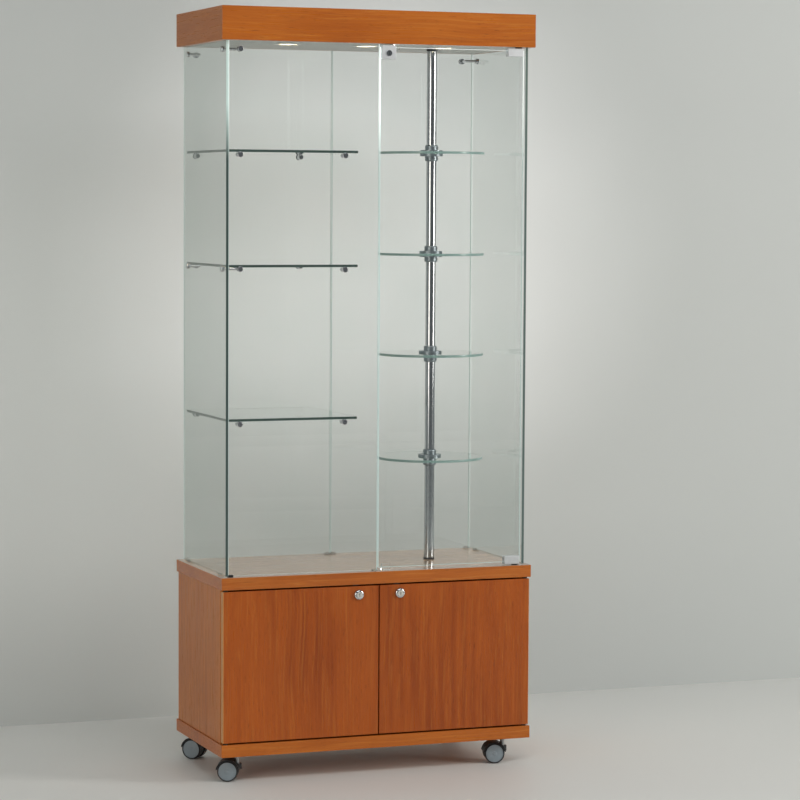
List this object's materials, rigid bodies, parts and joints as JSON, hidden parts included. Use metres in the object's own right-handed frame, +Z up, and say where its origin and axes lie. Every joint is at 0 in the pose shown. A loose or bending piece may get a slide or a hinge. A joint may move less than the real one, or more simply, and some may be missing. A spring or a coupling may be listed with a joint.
{
  "type": "display case",
  "caption": "Tall glass display case on castors: cherry cupboard base, fixed glass shelves beside a turning column of round glass shelves, locking glass door and lit canopy.",
  "frame": {"origin": "floor under the middle of the case", "axes": "+Z up, front towards -Y, +X to the right"},
  "size_m": [0.8, 0.3896, 1.85],
  "materials": {
    "cherry": "cherry laminate, satin",
    "back_board": "thin cherry laminate",
    "pale_panel": "pale grey laminate, matt",
    "glass": "clear float glass",
    "lamp_glass": "lit reflector lamp",
    "chrome": "polished chrome plate",
    "steel": "zinc-plated steel",
    "black_plastic": "black nylon",
    "clear_plastic": "clear acrylic",
    "white_plastic": "white plastic",
    "wheel_plastic": "grey nylon wheels"
  },
  "bodies": {
    "case": {"bottom_board": "cherry", "top_board": "cherry", "left_side": "cherry", "right_side": "cherry", "base_back": "back_board", "lock_strikes": "steel", "base_pivots": "steel", "left_pane": "glass", "right_pane": "glass", "front_pane": "glass", "back_left_pane": "glass", "back_right_pane": "glass", "pane_shoes": "black_plastic", "corner_connectors": "chrome", "shelf_pegs": "chrome", "lower_left_shelf": "glass", "middle_left_shelf": "glass", "upper_left_shelf": "glass", "canopy_front": "cherry", "canopy_back": "cherry", "canopy_ends": "cherry", "canopy_lid": "cherry", "ceiling_panel": "pale_panel", "lamp_rims": "white_plastic", "lamps": "lamp_glass", "lamp_transformer": "white_plastic", "power_inlet": "black_plastic", "column_bearings": "black_plastic", "door_pivots": "black_plastic", "door_stops": "clear_plastic", "castor_stems": "steel"},
    "column": {"column_tube": "chrome", "column_spigots": "chrome", "round_shelf_one": "glass", "round_shelf_two": "glass", "round_shelf_three": "glass", "round_shelf_four": "glass", "shelf_hubs": "chrome", "hub_screws": "chrome"},
    "glass_door": {"door_pane": "glass", "hinge_clamps": "chrome", "door_lock_body": "chrome"},
    "glass_door_plug": {"door_lock_plug": "steel"},
    "glass_door_bolt": {"door_lock_bolt": "steel"},
    "left_door": {"left_base_door": "cherry", "left_lock_body": "chrome"},
    "right_door": {"right_base_door": "cherry", "right_lock_body": "chrome"},
    "left_lock": {"left_lock_plug": "steel"},
    "right_lock": {"right_lock_plug": "steel"},
    "front_left_swivel": {"front_left_castor_hood": "black_plastic"},
    "front_left_wheels": {"front_left_castor_wheels": "wheel_plastic"},
    "front_right_swivel": {"front_right_castor_hood": "black_plastic"},
    "front_right_wheels": {"front_right_castor_wheels": "wheel_plastic"},
    "back_left_swivel": {"back_left_castor_hood": "black_plastic"},
    "back_left_wheels": {"back_left_castor_wheels": "wheel_plastic"},
    "back_right_swivel": {"back_right_castor_hood": "black_plastic"},
    "back_right_wheels": {"back_right_castor_wheels": "wheel_plastic"}
  },
  "joints": [
    {"name": "glass_door_swing", "type": "hinge", "parent": "case", "child": "glass_door", "pos_m": [0.3625, -0.173, 1.134], "axis": [0, 0, 1], "range_deg": [0, 105]},
    {"name": "glass_lock_turn", "type": "hinge", "parent": "glass_door", "child": "glass_door_plug", "pos_m": [0.0195, -0.18, 1.74785], "axis": [0, 1, 0], "range_deg": [0, 90]},
    {"name": "glass_bolt_slide", "type": "slide", "parent": "glass_door", "child": "glass_door_bolt", "axis": [0, 0, 1], "range_m": [0, 0.009]},
    {"name": "column_turn", "type": "hinge", "parent": "case", "child": "column", "pos_m": [0.202, 0, 1.134], "axis": [0, 0, 1], "continuous": true},
    {"name": "left_door_swing", "type": "hinge", "parent": "case", "child": "left_door", "pos_m": [-0.387, -0.18, 0.282], "axis": [0, 0, -1], "range_deg": [0, 105]},
    {"name": "right_door_swing", "type": "hinge", "parent": "case", "child": "right_door", "pos_m": [0.387, -0.18, 0.282], "axis": [0, 0, 1], "range_deg": [0, 105]},
    {"name": "left_lock_turn", "type": "hinge", "parent": "left_door", "child": "left_lock", "pos_m": [-0.053, -0.189, 0.4435], "axis": [0, 1, 0], "range_deg": [0, 90]},
    {"name": "right_lock_turn", "type": "hinge", "parent": "right_door", "child": "right_lock", "pos_m": [0.053, -0.189, 0.4435], "axis": [0, -1, 0], "range_deg": [0, 90]},
    {"name": "front_left_castor_turn", "type": "hinge", "parent": "case", "child": "front_left_swivel", "pos_m": [-0.346, -0.143, 0.05], "axis": [0, 0, 1], "continuous": true},
    {"name": "front_left_wheel_spin", "type": "hinge", "parent": "front_left_swivel", "child": "front_left_wheels", "pos_m": [-0.36564, -0.13426, 0.025], "axis": [0.4067, 0.9135, 0], "continuous": true},
    {"name": "front_right_castor_turn", "type": "hinge", "parent": "case", "child": "front_right_swivel", "pos_m": [0.346, -0.143, 0.05], "axis": [0, 0, 1], "continuous": true},
    {"name": "front_right_wheel_spin", "type": "hinge", "parent": "front_right_swivel", "child": "front_right_wheels", "pos_m": [0.32514, -0.1378, 0.025], "axis": [0.2419, 0.9703, 0], "continuous": true},
    {"name": "back_left_castor_turn", "type": "hinge", "parent": "case", "child": "back_left_swivel", "pos_m": [-0.346, 0.143, 0.05], "axis": [0, 0, 1], "continuous": true},
    {"name": "back_left_wheel_spin", "type": "hinge", "parent": "back_left_swivel", "child": "back_left_wheels", "pos_m": [-0.36172, 0.15766, 0.025], "axis": [0.682, 0.7314, 0], "continuous": true},
    {"name": "back_right_castor_turn", "type": "hinge", "parent": "case", "child": "back_right_swivel", "pos_m": [0.346, 0.143, 0.05], "axis": [0, 0, 1], "continuous": true},
    {"name": "back_right_wheel_spin", "type": "hinge", "parent": "back_right_swivel", "child": "back_right_wheels", "pos_m": [0.32738, 0.15375, 0.025], "axis": [0.5, 0.866, 0], "continuous": true}
  ],
  "couplings": [
    {"joint": "glass_lock_turn", "follows": "glass_bolt_slide", "rad_per_m": 174.53}
  ]
}
